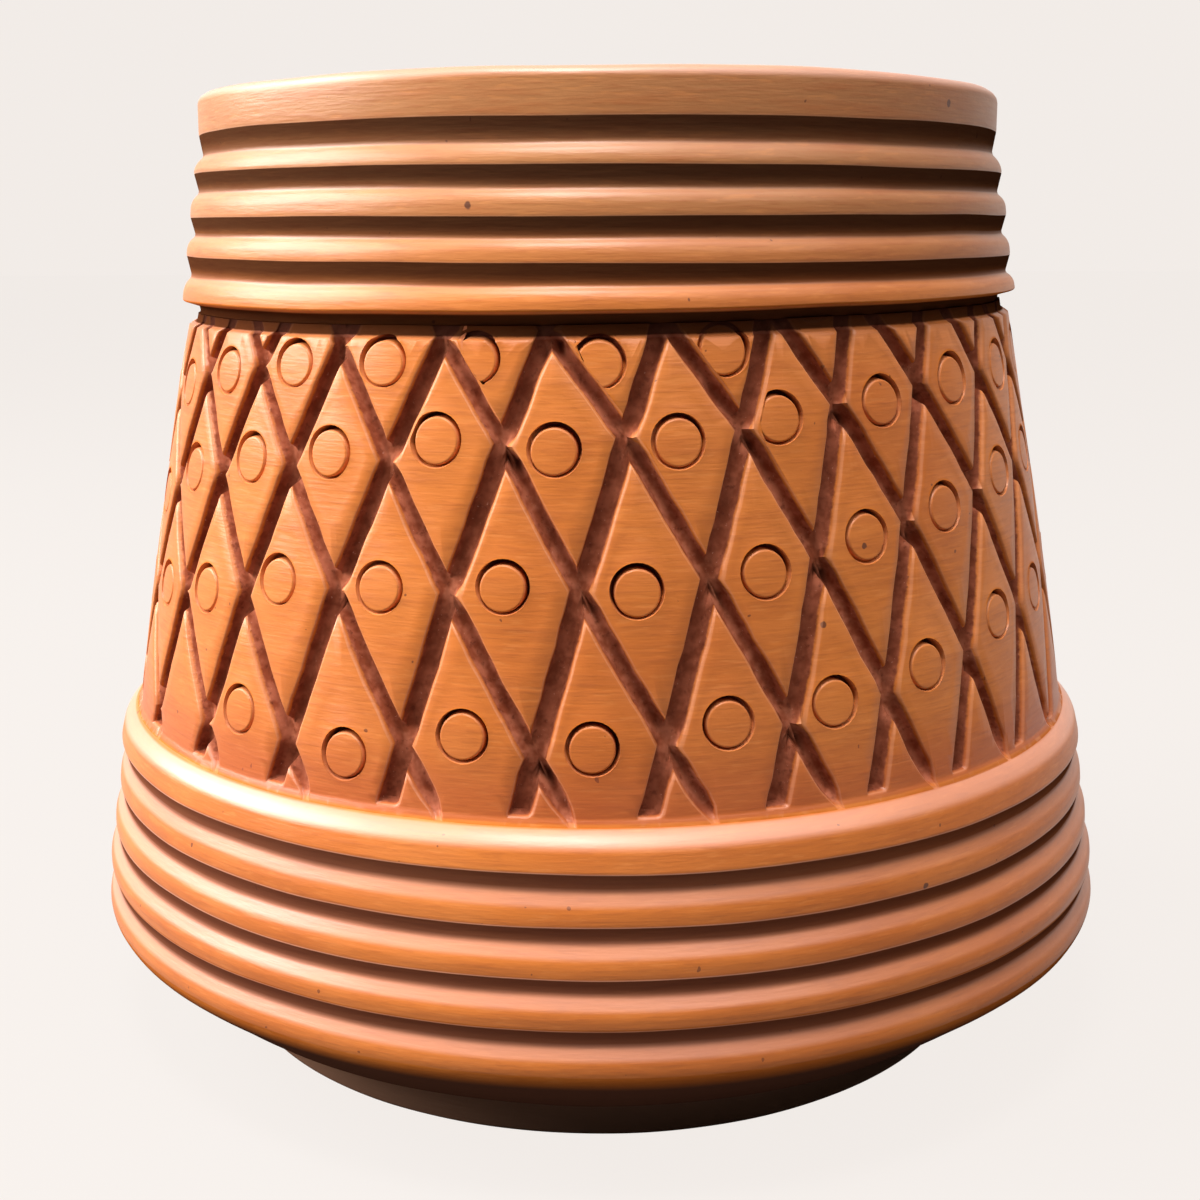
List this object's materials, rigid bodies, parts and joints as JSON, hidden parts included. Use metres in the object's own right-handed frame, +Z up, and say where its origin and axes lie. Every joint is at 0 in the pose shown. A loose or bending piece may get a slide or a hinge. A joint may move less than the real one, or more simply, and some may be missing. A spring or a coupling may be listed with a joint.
{
  "type": "tulsi planter",
  "caption": "Round terracotta planter for holy basil: a leaning wall carved in crossed grooves between a ringed base and a ringed collar, with an open mouth and a drained floor.",
  "frame": {"origin": "centre of the foot's resting face", "axes": "+Z up along the pot's turning axis; the picture looks along +Y and a little down, with +X to its right"},
  "size_m": [0.25, 0.25, 0.22],
  "materials": {
    "terracotta": "satin red clay slip over fired earthenware, brushed level round the pot, with darker bare clay in the carved grooves"
  },
  "bodies": {
    "root": {"foot_ring": "terracotta", "ringed_base": "terracotta", "carved_wall": "terracotta", "rim_collar": "terracotta"}
  },
  "joints": []
}
